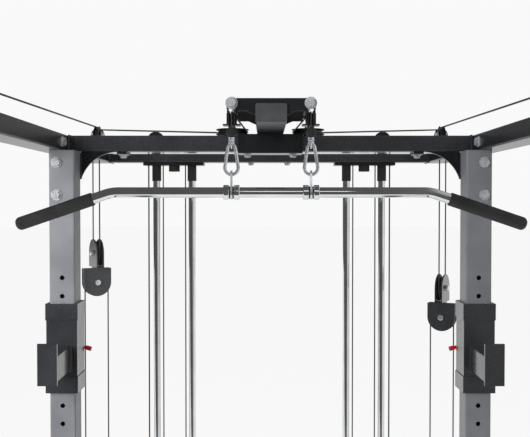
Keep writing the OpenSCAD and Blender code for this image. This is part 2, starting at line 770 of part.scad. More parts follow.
upright_bolt_x = upright_x + 14;
upright_bolt_z = [beam_z - 122, beam_z - 33];
pivot_l = wing_y[1] - wing_y[0] + wing_t + 12;
module frame_bolts() {
  color("#b4b8bc") {
    at_guides() rotate([90, 0, 0]) axle();
    for (s = [LEFT, RIGHT]) side(s) {
      for (z = upright_bolt_z) translate([upright_bolt_x, upright_y, z]) rotate([90, 0, 0]) bolt();
      translate([side_in, upright_y + 5, beam_z + beam_h / 2]) rotate([0, -90, 0]) bolt();
      translate([gusset_bolt_x, flat_y, beam_z - gusset_t]) rotate([180, 0, 0]) bolt(10);
      translate([saddle_bolt_x, flat_y, beam_z - saddle_t]) rotate([180, 0, 0]) bolt(10);
      translate([saddle_bolt_x, rear_y, beam_z]) rotate([180, 0, 0]) bolt(10);
      translate([lat_x, wing_y[0], pivot_z]) rotate([90, 0, 0]) bolt(12, pivot_l);
      translate([lat_x, wing_y[1] + wing_t, pivot_z]) rotate([-90, 0, 0]) cylinder(h = 9, d = 22, $fn = 6);
      translate([flat_x, flat_y, flat_z]) {
        translate([0, 0, pulley_w / 2 + 0.5]) cylinder(h = 7, d = 19, $fn = 6);
        translate([0, 0, -pulley_w / 2 - 20]) cylinder(h = pulley_w + 22, d = axle_d);
        translate([0, 0, -pulley_w / 2 - flat_lift]) cylinder(h = flat_lift - 0.3, d = 20);
      }
    }
  }
}

// Cables

// Bend in an upright plane through c, turned about Z by t; angles are counted from +X towards +Z
module upright_bend(c, t, r, a0, a1) { translate(c) rotate(t) rotate([90, 0, 0]) bend(r, a0, a1); }

module cable_fixed() {
  g = guide_pitch;
  p = guide_places();
  up = [0, 0, g];
  contact = [flat_x - flat_pitch * sin(run_a), flat_y + flat_pitch * cos(run_a), flat_z];
  color("#1a1a1b") for (s = [LEFT, RIGHT]) side(s) {
    upright_bend(p[0][0], 90, g, 90, 180);
    strand(p[0][0] + up, p[1][0] + up);
    upright_bend(p[1][0], 90, g, 0, 90);
    upright_bend(p[2][0], run_a, g, 0, 90);
    strand(p[2][0] + up, contact);
    translate([flat_x, flat_y, flat_z]) bend(flat_pitch, 90 + run_a, 180);
    upright_bend(p[3][0], 0, g, 0, 180);
    strand([strand_e[0], strand_e[1], rear_guide_z], [strand_e[0], strand_e[1], base_z]);
    upright_bend(p[7][0], -floor_a, g, 180, 270);
    strand(p[7][0] - up, p[6][0] - up);
    upright_bend(p[6][0], -floor_a, g, 270, 360);
    upright_bend(p[5][0], 90, g, 270, 360);
    strand(p[5][0] - up, p[4][0] - up);
    upright_bend(p[4][0], 90, g, 180, 270);
  }
}

module cable_lat() {
  top = [lat_x, lat_pulley_y, lat_pulley_z + lat_pitch];
  color("#1a1a1b") for (s = [LEFT, RIGHT]) side(s) {
    strand([flat_x - flat_pitch, flat_y, flat_z], top);
    upright_bend([lat_x, lat_pulley_y, lat_pulley_z], 90, lat_pitch, 90, 180);
    strand([lat_x, -bar_y, lat_pulley_z], [lat_x, -bar_y, crimp_top + 0.5]);
  }
}

module cable_float(s) {
  z0 = float_z(s);
  z1 = z0 + float_span;
  color("#1a1a1b") side(s) {
    for (p = [strand_a, strand_b]) strand([p[0], p[1], z1], [p[0], p[1], guide_z]);
    upright_bend([float_x, float_y, z1], float_yaw - 90, big_pitch, 180, 360);
    for (p = [strand_c, strand_d]) strand([p[0], p[1], base_z], [p[0], p[1], z0]);
    upright_bend([float_x, float_y, z0], float_yaw, big_pitch, 0, 180);
  }
}

module cable_stack(s) {
  color("#1a1a1b") side(s) {
    strand([stack_out, rear_y, stack_pulley_z], [stack_out, rear_y, rear_guide_z]);
    upright_bend([stack_x, rear_y, stack_pulley_z], 0, big_pitch, 180, 360);
    strand([stack_in, rear_y, stack_pulley_z], [stack_in, rear_y, beam_z - top_plate_t]);
  }
}

module cable_carriage(s) {
  z = carriage_z(s);
  x = column_cable_x;
  y = column_cable_y;
  color("#1a1a1b") side(s) {
    strand([x, y, base_z], [x, y, z]);
    upright_bend([x, y - guide_pitch, z], 90, guide_pitch, 0, 180);
    strand([x, y - 2 * guide_pitch, z], [x, y - 2 * guide_pitch, handle_z(s) + ball_d / 2]);
    strand([x, y, z + anchor_h], [x, y, guide_z]);
  }
}

// Floating pulley blocks: two sheaves at right angles, each between its cheeks

float_cheek_r = 47.5;
module float_block(s) {
  web_lo = big_od / 2 + 2;
  web_hi = float_span - big_od / 2 - 2;
  half = cheek_gap / 2 + cheek_t;
  color("#232427") side(s) translate([float_x, float_y, float_z(s)]) rotate(float_yaw) {
    for (e = [-1, 1]) translate([0, e * (cheek_gap + cheek_t) / 2 + cheek_t / 2, 0]) rotate([90, 0, 0])
      linear_extrude(cheek_t) float_cheek(web_hi, half);
    translate([-half, -half, web_lo]) cube([2 * half, 2 * half, web_hi - web_lo]);
    for (e = [-1, 1]) translate([e * (cheek_gap + cheek_t) / 2 + cheek_t / 2, 0, float_span])
      rotate([-90, 0, 90]) linear_extrude(cheek_t) float_cheek(float_span - web_lo, half);
  }
}
// Cover of a sheave: one round end, one flat end, and a strap of half width w that reaches the web
module float_cheek(reach, w) {
  r = float_cheek_r;
  difference() {
    union() {
      circle(r);
      translate([-r, 0]) square([2 * r, big_od / 2 + 4]);
      translate([-w, 0]) square([2 * w, reach]);
    }
    circle(d = axle_d + 2 * fit);
  }
}

module float_sheaves(s) {
  color("#151516") side(s) translate([float_x, float_y, float_z(s)]) rotate(float_yaw) {
    rotate([90, 0, 0]) pulley(big_od);
    rotate([90, 0, 0]) axle();
    translate([0, 0, float_span]) rotate([0, 90, 0]) {
      pulley(big_od);
      axle();
    }
  }
}

// Bar hooks

module hook(s) {
  band = 2;
  band_h = 45;
  x = upright_x;
  y = upright_y + upright_w / 2;
  in = upright_w / 2 + slip;
  out = sleeve_w / 2;
  top = sleeve_z + sleeve_h;
  arm_y = y - out;
  arm_z = sleeve_z + 60;
  lip_z = arm_z - 7;
  color("#36373a") side(s) difference() {
    union() {
      block([x - out, y - out, sleeve_z], [x + out, y + out, top]);
      for (z = [sleeve_z, top - band_h])
        block([x - out - band, y - out - band, z], [x + out + band, y + out + band, z + band_h]);
      tube([x - arm_w / 2, arm_y - arm_l, arm_z], [x + arm_w / 2, arm_y + 1, arm_z + arm_h], 1);
      block([x - arm_w / 2, arm_y - arm_l - 8, lip_z], [x + arm_w / 2, arm_y - arm_l, lip_z + lip_h]);
      translate([x, y, hook_pin_z]) rotate([-90, 0, 0]) cylinder(h = out + 20, d = 26);
    }
    block([x - in, y - in, sleeve_z - 1], [x + in, y + in, top + 1]);
    translate([x, y, hook_pin_z]) rotate([-90, 0, 0]) cylinder(h = 2 * out, d = pull_d + 2 * fit);
  }
}

pull_d = 12;
hook_pin_z = first_hole - 4 * hole_pitch;
module hook_pin(s) {
  y0 = upright_y + upright_w + 0.3;
  back = upright_y + upright_w / 2 + sleeve_w / 2 + 39;
  root = [upright_x, back - 6, hook_pin_z];
  tip = [upright_x - sleeve_w / 2 - 12, back - 6, hook_pin_z - 15];
  u = (tip - root) / norm(tip - root);
  color("#b3191d") side(s) {
    rod([upright_x, y0, hook_pin_z], [upright_x, back, hook_pin_z], pull_d);
    rod(root, tip - 2 * u, 9);
    rod(tip - 16 * u, tip, 13);
  }
}

// Cable carriages

lug_gap = 46.5;
lug_t = 10;
anchor_h = 74;
trunnion_d = 14;
// Centre of the ball stop of a handle, below its swivel pulley
function handle_z(s) = carriage_z(s) - sqrt(pow(guide_od / 2 + ball_d / 2 + 1, 2) - pow(guide_pitch, 2));

module carriage(s) {
  z = carriage_z(s);
  in = column_w / 2 + slip;
  out = carriage_w / 2;
  cy = column_cable_y;
  cx = column_cable_x;
  front = -column_y - out;
  color("#2f3033") side(s) difference() {
    union() {
      block([side_x - out, front, z - carriage_h / 2],
        [side_x + out, front + carriage_w, z + carriage_h / 2]);
      for (e = [-1, 1]) {
        za = e > 0 ? z + lug_gap : z - lug_gap - lug_t;
        block([side_x + 10, cy, za], [cx, front + 5, za + lug_t]);
        block([cx - 20, cy - 14, za], [cx, cy, za + lug_t]);
        translate([cx, cy, za]) cylinder(h = lug_t, r = 14);
      }
      translate([cx, cy, z + lug_gap]) cylinder(h = anchor_h - lug_gap, r = 14);
      translate([side_x - out - 24, -column_y, z]) rotate([0, 90, 0]) cylinder(h = 30, d = 28);
    }
    block([side_x - in, -column_y - in, z - carriage_h], [side_x + in, -column_y + in, z + carriage_h]);
    translate([cx, cy, z - lug_gap - lug_t - 1]) cylinder(h = lug_t + 2, d = trunnion_d + 2 * fit);
    translate([cx, cy, z + lug_gap - 1]) cylinder(h = lug_t + 4, d = trunnion_d + 2 * fit);
    translate([side_x - out - 30, -column_y, z]) rotate([0, 90, 0]) cylinder(h = 60, d = pull_d + 2 * fit);
  }
}

module pop_pin(s) {
  nose = side_x - column_w / 2 - 0.3;
  knob = side_x - carriage_w / 2 - 24 - 10;
  color("#b3191d") side(s) translate([0, -column_y, carriage_z(s)]) {
    rod([knob - 5, 0, 0], [nose, 0, 0], pull_d);
    translate([knob - 26, 0, 0]) rotate([0, 90, 0]) cylinder(h = 26, d = 34);
    translate([knob - 32, 0, 0]) rotate([0, 90, 0]) cylinder(h = 7, d = 40);
  }
}

// Fork that turns on hollow trunnions about the vertical cable
module swivel(s) {
  half = cheek_gap / 2;
  web = 38;
  end = lug_gap - 0.5;
  color("#1f2022") side(s) translate([column_cable_x, column_cable_y, carriage_z(s)]) difference() {
    union() {
      for (e = [-1, 1]) block([e > 0 ? half : -half - cheek_t, -guide_pitch - 14, -end],
                              [e > 0 ? half + cheek_t : -half, 9, end]);
      for (e = [-1, 1]) block([-half, -14, e > 0 ? web : -end], [half, 9, e > 0 ? end : -web]);
      for (e = [-1, 1]) translate([0, 0, e > 0 ? web : -end - lug_t])
        cylinder(h = end - web + lug_t, d = trunnion_d);
    }
    translate([0, 0, -end - lug_t - 1]) cylinder(h = end + lug_t, d = cable_d + 3);
    translate([-40, -guide_pitch, 0]) rotate([0, 90, 0]) cylinder(h = 80, d = axle_d + 2 * fit);
  }
}

module swivel_pulley(s) {
  color("#151516") side(s)
    translate([column_cable_x, column_cable_y - guide_pitch, carriage_z(s)]) rotate([0, 90, 0]) {
      pulley(guide_od);
      axle();
    }
}

// Hand grip on its stirrup, below the ball stop at the end of the lower cable
stirrup_h = 110;
module handle(s) {
  ring_r = 11;
  bar_r = 3.5;
  grip_d = 30;
  pin = 12;
  w = handle_w / 2;
  ring_z = -ball_d / 2 - 0.3 - ring_r - bar_r;
  top = ring_z + 0.8;
  low = -ball_d / 2 - 18 - stirrup_h;
  color("#1c1c1d") side(s) translate([column_cable_x, column_cable_y - 2 * guide_pitch, handle_z(s)]) {
    rotate(90) sphere(d = ball_d);
    translate([-ball_d / 2 - 1, 0, 0]) rotate([0, 90, 0]) cylinder(h = ball_d + 2, d = 8);
    translate([0, 0, ring_z]) rotate([0, 90, 0]) rotate_extrude() translate([ring_r, 0]) circle(bar_r);
    difference() {
      union() {
        translate([0, bar_r, 0]) rotate([90, 0, 0]) linear_extrude(2 * bar_r) difference() {
          stirrup_outline(w + bar_r, top, low, 14);
          stirrup_outline(w - bar_r, top - 2 * bar_r, low - 20, 9);
        }
        for (e = [-1, 1]) translate([e * w - bar_r, 0, low]) rotate([0, 90, 0])
          cylinder(h = 2 * bar_r, d = pin + 8);
      }
      translate([-2 * w, 0, low]) rotate([0, 90, 0]) cylinder(h = 4 * w, d = pin + 2 * fit);
    }
    translate([-w - 8, 0, low]) rotate([0, 90, 0]) cylinder(h = 2 * w + 16, d = pin);
    translate([-w + bar_r + slip, 0, low]) rotate([0, 90, 0])
      cylinder(h = 2 * (w - bar_r - slip), d = grip_d);
  }
}
// Trapezium of a stirrup: e either side at the top, straight legs in its lower part
module stirrup_outline(w, top, low, e) {
  knee = top - 0.62 * stirrup_h;
  polygon([[-e, top], [e, top], [w, knee], [w, low], [-w, low], [-w, knee]]);
}

base_frame();
foot_pads();
end_caps();
uprights();
front_columns();
side_beams();
cross_beam();
rear_top_beam();
gussets();
lat_boom();
saddle_plate();
wing_plates();
stack_top_plates();
guide_rods();
stack_bumpers();
weight_stacks();
frame_bolts();
pulley_brackets();
guide_pulleys();
cable_fixed();
cable_lat();
lat_bar();
lat_grips();
bar_eyes();
carabiners();
cable_ends();
cable_carriage(LEFT);  // cable_carriage_left
cable_carriage(RIGHT);  // cable_carriage_right
cable_float(LEFT);  // cable_float_left
cable_float(RIGHT);  // cable_float_right
cable_stack(LEFT);  // cable_stack_left
cable_stack(RIGHT);  // cable_stack_right
stack_head(LEFT);  // stack_head_left
stack_head(RIGHT);  // stack_head_right
stack_pulley(LEFT);  // stack_pulley_left
stack_pulley(RIGHT);  // stack_pulley_right
selector_pin(LEFT);  // selector_pin_left
selector_pin(RIGHT);  // selector_pin_right
float_block(LEFT);  // float_left
float_block(RIGHT);  // float_right
float_sheaves(LEFT);  // float_sheaves_left
float_sheaves(RIGHT);  // float_sheaves_right
lat_swivel(LEFT);  // lat_swivel_left
lat_swivel(RIGHT);  // lat_swivel_right
lat_pulley(LEFT);  // lat_pulley_left
lat_pulley(RIGHT);  // lat_pulley_right
hook(LEFT);  // hook_left
hook(RIGHT);  // hook_right
hook_pin(LEFT);  // hook_pin_left
hook_pin(RIGHT);  // hook_pin_right
carriage(LEFT);  // carriage_left
carriage(RIGHT);  // carriage_right
pop_pin(LEFT);  // pop_pin_left
pop_pin(RIGHT);  // pop_pin_right
swivel(LEFT);  // swivel_left
swivel(RIGHT);  // swivel_right
swivel_pulley(LEFT);  // swivel_pulley_left
swivel_pulley(RIGHT);  // swivel_pulley_right
handle(LEFT);  // handle_left
handle(RIGHT);  // handle_right
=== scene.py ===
"""Dresses a packed functional trainer: powder-coated frame, chrome rods and lat bar, cables and grips."""

import json
import math

import bpy
import numpy as np
from bpy.props import FloatProperty, FloatVectorProperty, PointerProperty
from bpy.types import Operator, Panel, PropertyGroup
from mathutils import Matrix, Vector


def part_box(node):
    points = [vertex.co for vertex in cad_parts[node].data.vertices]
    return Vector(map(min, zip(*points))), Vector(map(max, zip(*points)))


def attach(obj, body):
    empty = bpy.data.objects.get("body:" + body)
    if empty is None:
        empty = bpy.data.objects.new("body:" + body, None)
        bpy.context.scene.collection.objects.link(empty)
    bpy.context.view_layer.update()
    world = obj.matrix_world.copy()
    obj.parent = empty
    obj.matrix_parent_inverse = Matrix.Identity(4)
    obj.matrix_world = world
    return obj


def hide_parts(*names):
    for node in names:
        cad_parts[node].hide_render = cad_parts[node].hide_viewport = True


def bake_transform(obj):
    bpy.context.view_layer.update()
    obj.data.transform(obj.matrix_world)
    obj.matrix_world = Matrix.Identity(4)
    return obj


bl_info = {
    "name": "Functional trainer",
    "version": (1, 0, 0),
    "blender": (4, 5, 0),
    "location": "View3D > Sidebar > Trainer",
    "description": "Finishes, cables, bar and stage of a functional trainer",
    "category": "Object",
}

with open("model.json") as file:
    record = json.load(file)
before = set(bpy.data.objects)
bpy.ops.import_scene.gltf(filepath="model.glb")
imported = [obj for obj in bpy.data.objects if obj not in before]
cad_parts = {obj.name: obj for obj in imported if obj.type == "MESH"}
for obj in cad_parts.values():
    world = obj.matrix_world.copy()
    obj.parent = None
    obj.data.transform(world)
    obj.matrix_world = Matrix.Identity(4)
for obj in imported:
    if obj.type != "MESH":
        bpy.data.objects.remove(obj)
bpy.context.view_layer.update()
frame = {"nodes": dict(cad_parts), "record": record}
JOINTS = {j["name"]: j for j in frame["record"]["behaviour"]["joints"]}
SIDES = (("left", -1.0), ("right", 1.0))
RIGHT, AWAY, UP = (1, 0, 0), (0, 1, 0), (0, 0, 1)

# Lat bar and its grips, in metres as every size below; a grip's lip is height and inset
BAR_LOW, BAR_HIGH = (np.array(c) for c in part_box("lat_bar"))
BAR_DIAMETER = float(BAR_HIGH[1] - BAR_LOW[1])
BAR_Y = float(BAR_LOW[1] + BAR_HIGH[1]) / 2
BAR_Z = float(BAR_HIGH[2]) - BAR_DIAMETER / 2
BEND_START = 0.365
BEND_RADIUS = 0.100
BEND_ANGLE = math.radians(18.8)
BAR_REACH = 0.6095
TUBE_SHORT = 0.006
GRIP_START = 0.030
GRIP_LIP = ((0.0002, 0.0015), (0.0015, 0.0003), (0.004, 0.0))
GRIP_ROUND = 0.012

# Eye plates of the bar, their bushes and the collars beside them
EYE_RISE = 0.0427
EYE_THICK = 0.005
EYE_NARROW = 0.010
EYE_SHY = 0.001
EYE_HOLE = 0.0062
BUSH_RADIUS = 0.0147
BUSH_PAST = 0.001
COLLAR_GAP = 0.0056
COLLAR_END = 0.0196
COLLAR_RADIUS = 0.018
COLLAR_EDGE = 0.0012
COLLAR_STEP = 0.0002
COLLAR_SLIP = 0.0001

# Snap hooks, ball stops, crimps and eyes; a crimp's profile is height and radius in millimetres
SNAP_SMALL, SNAP_LARGE = 0.009, 0.016
BALL_RADIUS = 0.0130
BALL_BORE = 0.003
CRIMP_FALL = 0.0273
CRIMP_PROFILE = ((0.0, 6.4), (0.8, 7.6), (3.0, 8.0), (3.5, 7.0), (7.5, 7.0), (8.0, 8.0), (11.5, 8.0),
                 (12.0, 7.0), (15.2, 7.6), (16.0, 6.6))
LOOP_RADIUS = 0.0083
LOOP_WIRE = 0.002

# Lat head: wing plates, and the cable from the flat pulley over the lat pulley
LAT_X = 0.095
PIVOT_Z = 2.160
WING_TOP = 2.172
WING_Y = (-0.142, 0.098)
WING_THICK = 0.006
WING_MID = PIVOT_Z - 0.0185
WING_LOW = PIVOT_Z - 0.028
WING_BREAK = 0.060
WING_FOOT = 0.0035
WING_FOOT_OUT = 0.0085
NOTCH_HALF = 0.0075
NOTCH_FALL = 0.0155
BOOM_HALF = 0.038
FLAT_EXIT = (0.065, 0.215, 2.1225)
LAT_RIM = 0.016
LAT_KNEE = 0.65

# Gussets under the cross beam
BEAM_Z = 2.064
UPRIGHT_IN = 0.533
CROSS_Y = 0.175
GUSSET_WIDTH, GUSSET_HEIGHT, GUSSET_THICK = 0.105, 0.077, 0.006
TAB_OUT, TAB_IN, TAB_DEEP = 0.024, 0.004, 0.060

# Floating blocks and the cables above and below them
FLOAT_AT = (0.593, 0.645)
FLOAT_YAW = math.radians(-28.0)
FLOAT_SPAN = 0.100
FLOAT_Z = {"left": 1.649, "right": 1.529}
BIG_PITCH = 0.040
GUIDE_PITCH = 0.026
GUIDE_Z = 2.146
BASE_Z = 0.096

# Carriages, handles and stacks
COLUMN_CABLE = (0.664, -0.797)
CARRIAGE_Z = {"left": 0.900, "right": 1.140}
CARRIAGE_ANCHOR = 0.074
HANDLE_BALL = 0.0115
STACK_X = 0.341
STACK_Y = 0.780
STACK_TOP = 2.054
STACK_Z = float(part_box("weight_stacks")[0][2])
PLATE_PITCH = 0.026
# PLATE_SEAM: width of the painted shade and the sunk face on either side of each seam between plates
PLATE_SEAM = 0.003

# Cap nuts stand on the cheeks; weld beads run round the ends of tubes, given as spans of X, Y or Z
CHEEK_OUT = 0.013
NUT_RADIUS, NUT_HEIGHT, NUT_EDGE = 0.0098, 0.0092, 0.0020
BEAD_RADIUS = 0.0024
BEAD_RIPPLE = 0.004
BEAD_STEP = 0.0012
BEAD_SWELL = 0.14
SEAM_RADIUS = 0.0030
SEAM_SHORT = 0.002
SEAM_SWELL = 0.1
COLUMN_X, COLUMN_Y, COLUMN_ENDS = (0.577, 0.637), (-0.775, -0.715), (0.058, BEAM_Z)
RAIL_IN = 0.567
RAIL_WELDS = (("base", (0.725, 0.835), (0.008, 0.058)), ("cross", (0.175, 0.255), (BEAM_Z, 2.110)),
              ("rear", (0.750, 0.810), (BEAM_Z, 2.095)))
ARM_X, ARM_Y, ARM_Z = (0.543, 0.593), 0.093, (1.462, 1.533)

# The photograph's camera: 530 by 437 pixels
PHOTO_WIDTH = 530.0
FOCAL_PIXELS = 772.0
SENSOR_MM = 36.0
CAMERA_AT = (-0.015, -2.000, 1.920)
CAMERA_PITCH = math.radians(-1.15)
CAMERA_FAR = 100

# The studio: tones of the backdrop, the dark room and the lit panel on the right, the parts of a direction
# over which backdrop and panel come in, and the floor's reach to the sides, the front and the back
WHITE = 0.95
ROOM_TONE = 0.10
PANEL_TONE = 0.85
AMBIENT = 0.32
BACKDROP_EDGE = (0.96, 0.995)
PANEL_EDGE = (0.1, 0.9)
FLOOR_GLOW = 0.90
FLOOR_REACH = (20.0, -2.2, 60.0)

# Softboxes: name, place, the point it faces, width, power in watts, and whether polished metal shows it
LAMPS = (
    ("key_softbox", (-1.6, -1.6, 2.2), (-0.5, 0.2, 1.6), 1.3, 78, False),
    ("front_softbox", (0.2, -3.6, 3.4), (0, 0.2, 1.7), 0.8, 2.5, True),
    ("fill_softbox", (2.6, -2.0, 2.2), (0, 0.2, 1.5), 2.0, 16, False),
    ("top_softbox", (0.0, 0.4, 4.4), (0, 0.4, 1.6), 3.0, 40, False),
)


def linear(code):
    """sRGB hex such as 3A3B3E to linear RGBA."""
    s = [int(code[i:i + 2], 16) / 255 for i in (0, 2, 4)]
    return [c / 12.92 if c <= 0.04045 else ((c + 0.055) / 1.055) ** 2.4 for c in s] + [1.0]


def add(tree, kind, links=None, **settings):
    """Adds a node; settings name attributes or, where none has that name, input sockets."""
    n = tree.nodes.new(kind)
    for key, value in settings.items():
        if hasattr(n, key):
            setattr(n, key, value)
        else:
            n.inputs[key.replace("_", " ")].default_value = value
    for socket, source in (links or {}).items():
        tree.links.new(source, n.inputs[socket])
    return n


def new_material(name):
    """An empty material with its output, a Principled shader and its Object coordinates."""
    m = bpy.data.materials.new(name)
    m.use_nodes = True
    tree = m.node_tree
    shader = tree.nodes["Principled BSDF"]
    coords = add(tree, "ShaderNodeTexCoord")
    return m, tree, shader, coords.outputs["Object"]


def mottled(tree, at, dark, light, size_mm):
    """Colour that drifts between two close tones over patches of size_mm."""
    noise = add(tree, "ShaderNodeTexNoise", {"Vector": at}, Scale=1000.0 / size_mm, Detail=3.0)
    ramp = add(tree, "ShaderNodeValToRGB", {"Fac": noise.outputs["Fac"]})
    for stop, place, tone in zip(ramp.color_ramp.elements, (0.35, 0.65), (dark, light)):
        stop.position = place
        stop.color = linear(tone)
    return ramp.outputs["Color"]


def grained(tree, at, shader, size_mm, height_mm, low, high):
    """Bump and roughness from one grain of size_mm: roughness runs from low to high."""
    noise = add(tree, "ShaderNodeTexNoise", {"Vector": at}, Scale=1000.0 / size_mm, Detail=2.0)
    bump = add(tree, "ShaderNodeBump", {"Height": noise.outputs["Fac"]}, Strength=0.35,
               Distance=height_mm / 1000.0)
    tree.links.new(bump.outputs["Normal"], shader.inputs["Normal"])
    rough = add(tree, "ShaderNodeMapRange", {"Value": noise.outputs["Fac"]}, From_Min=0.3, From_Max=0.7,
                To_Min=low, To_Max=high)
    tree.links.new(rough.outputs["Result"], shader.inputs["Roughness"])


def powder_coat(name, dark, light, low=0.30, high=0.42, coat=0.0, gloss=0.5):
    """Powder coat baked on steel: satin, its orange peel drawn 3 mm across, coarser than real, to show."""
    m, tree, shader, at = new_material(name)
    tree.links.new(mottled(tree, at, dark, light, 90.0), shader.inputs["Base Color"])
    grained(tree, at, shader, 3.0, 0.25, low, high)
    shader.inputs["IOR"].default_value = 1.5
    shader.inputs["Specular IOR Level"].default_value = gloss
    shader.inputs["Coat Weight"].default_value = coat
    shader.inputs["Coat Roughness"].default_value = 0.12
    return m


def plated(name, dark, light, low, high, size_mm, metallic=1.0):
    """Plated steel: a mirror skin for chrome, a cloudy half-matte one for zinc, with faint marks."""
    m, tree, shader, at = new_material(name)
    tree.links.new(mottled(tree, at, dark, light, size_mm), shader.inputs["Base Color"])
    grained(tree, at, shader, size_mm, 0.02, low, high)
    shader.inputs["Metallic"].default_value = metallic
    return m


def moulded(name, dark, light, low, high, size_mm=1.2, height_mm=0.12):
    """Moulded rubber or nylon: matte, with the fine spark grain of its mould."""
    m, tree, shader, at = new_material(name)
    tree.links.new(mottled(tree, at, dark, light, 40.0), shader.inputs["Base Color"])
    grained(tree, at, shader, size_mm, height_mm, low, high)
    return m


def painted_seam_shade(m, start, pitch):
    """Seams of stacked plates: height folds to nothing at each plate's end, where the face sinks and painted
    shade darkens the colour for the gap between plates.
    """
    tree = m.node_tree
    shader, grain = tree.nodes["Principled BSDF"], tree.nodes["Bump"]
    at = add(tree, "ShaderNodeSeparateXYZ", {0: tree.nodes["Texture Coordinate"].outputs["Object"]})
    rise = add(tree, "ShaderNodeMath", {0: at.outputs["Z"]}, operation="SUBTRACT")
    rise.inputs[1].default_value = start
    fold = add(tree, "ShaderNodeMath", {0: rise.outputs[0]}, operation="PINGPONG")
    fold.inputs[1].default_value = pitch / 2
    # Painted shade: within PLATE_SEAM of each seam the plate colour falls to a tenth, for the shade in the
    # gap between plates
    edge = add(tree, "ShaderNodeMapRange", {"Value": fold.outputs[0]}, From_Max=PLATE_SEAM, To_Min=0.1,
               interpolation_type="SMOOTHSTEP")
    paint = shader.inputs["Base Color"].links[0].from_socket
    shade = add(tree, "ShaderNodeVectorMath", {0: paint, "Scale": edge.outputs[0]}, operation="SCALE")
    tree.links.new(shade.outputs[0], shader.inputs["Base Color"])
    sink = add(tree, "ShaderNodeBump", {"Height": edge.outputs[0]}, Strength=0.8, Distance=PLATE_SEAM)
    tree.links.new(sink.outputs["Normal"], grain.inputs["Normal"])
    return m


FINISHES = {}


def make_finishes():
    """One material for each real finish on the machine."""
    FINISHES.update(
        # Satin mid grey: broad soft highlights along the flat faces of the tubes
        graphite=powder_coat("graphite_powder_coat", "68696D", "737478"),
        # Half-gloss black: dark faces with a sheen where they turn to the light
        black=powder_coat("black_powder_coat", "26272A", "2E2F32", 0.24, 0.34, 0.6),
        # Deeper, duller black: plates that stay dark even seen along their faces
        deep_black=powder_coat("deep_black_powder_coat", "141517", "1A1B1D", 0.26, 0.36, 0.2, 0.3),
        # Mirror skin: hard bands of backdrop and dark room along rods and bar
        chrome=plated("chrome_plated_steel", "D9DBDD", "E6E7E8", 0.04, 0.09, 60.0),
        # Bright plating on bent wire: blurred bands that still change fast round the wire
        zinc=plated("zinc_plated_steel", "C6CACE", "E0E3E6", 0.16, 0.26, 18.0, 0.85),
        # Cloudier plating on bolts: pale heads that stand out from the paint
        bolt=plated("zinc_plated_bolt", "C2C6CA", "DADDE0", 0.22, 0.34, 18.0, 0.65),
        # Dry black with no clear highlight
        rubber=moulded("moulded_rubber", "1C1C1D", "242425", 0.62, 0.78),
        # Black with a soft wide highlight on rims
        nylon=moulded("moulded_black_nylon", "151516", "1D1D1E", 0.36, 0.5),
        # Dull dark grey, a step lighter than the tube that it closes
        cap=moulded("moulded_grey_nylon", "3A3B3D", "444547", 0.4, 0.55),
        # Matte dark grey, with painted shade darkening the lines between plates
        iron=painted_seam_shade(powder_coat("painted_cast_iron", "2C2D30", "37383B", 0.35, 0.5), STACK_Z, PLATE_PITCH),
        # Smooth dark jacket with one thin highlight along it
        cable=moulded("nylon_coated_cable", "29292B", "333335", 0.25, 0.4, 2.0, 0.05),
        # Clear red, the only strong colour on the machine
        red=moulded("red_moulded_plastic", "A81418", "BF1C20", 0.25, 0.35),
    )


NODE_FINISH = {
    "graphite": ["uprights", "front_columns"],
    "black": ["base_frame", "cross_beam", "rear_top_beam", "hook_left", "hook_right", "carriage_left",
              "carriage_right", "float_left", "float_right"],
    "deep_black": ["side_beams", "lat_boom", "gussets", "saddle_plate", "stack_top_plates",
                   "pulley_brackets", "lat_swivel_left", "lat_swivel_right", "swivel_left", "swivel_right"],
    "chrome": ["guide_rods"],
    "bolt": ["frame_bolts"],
    "zinc": ["bar_eyes"],
    "rubber": ["foot_pads", "stack_bumpers", "handle_left", "handle_right"],
    "cap": ["end_caps"],
    "nylon": ["guide_pulleys", "stack_pulley_left", "stack_pulley_right", "float_sheaves_left",
              "float_sheaves_right", "lat_pulley_left", "lat_pulley_right", "swivel_pulley_left",
              "swivel_pulley_right"],
    "iron": ["weight_stacks", "stack_head_left", "stack_head_right"],
    "cable": ["cable_fixed"],
    "red": ["selector_pin_left", "selector_pin_right", "hook_pin_left", "hook_pin_right", "pop_pin_left",
            "pop_pin_right"],
}


def grid_mesh(name, points, finish, body, closed=False):
    """A surface from rows of points, each a closed loop; the last joins the first, or both are capped."""
    rows, columns = points.shape[:2]
    index = np.arange(rows * columns).reshape(rows, columns)
    here = index if closed else index[:-1]
    ahead = np.roll(index, -1, 0) if closed else index[1:]
    faces = np.stack([here, ahead, np.roll(ahead, -1, 1), np.roll(here, -1, 1)], -1).reshape(-1, 4).tolist()
    if not closed:
        faces += [index[0].tolist(), index[-1][::-1].tolist()]
    mesh = bpy.data.meshes.new(name)
    mesh.from_pydata(points.reshape(-1, 3).tolist(), [], faces)
    mesh.validate()
    mesh.polygons.foreach_set("use_smooth", np.ones(len(mesh.polygons), bool))
    mesh.update()
    mesh.set_sharp_from_angle(angle=math.radians(40))
    mesh.materials.append(FINISHES[finish])
    obj = bpy.data.objects.new(name, mesh)
    bpy.context.scene.collection.objects.link(obj)
    outward(obj)
    if body:
        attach(obj, body)
    return obj


def outward(obj):
    """Turns the faces of a closed mesh outwards: a negative signed volume is flipped."""
    mesh = obj.data
    mesh.calc_loop_triangles()
    tri = np.empty(len(mesh.loop_triangles) * 3, np.int32)
    mesh.loop_triangles.foreach_get("vertices", tri)
    co = np.empty(len(mesh.vertices) * 3)
    mesh.vertices.foreach_get("co", co)
    p = co.reshape(-1, 3)[tri.reshape(-1, 3)]
    if np.einsum("ij,ij->i", p[:, 0], np.cross(p[:, 1], p[:, 2])).sum() < 0:
        mesh.flip_normals()


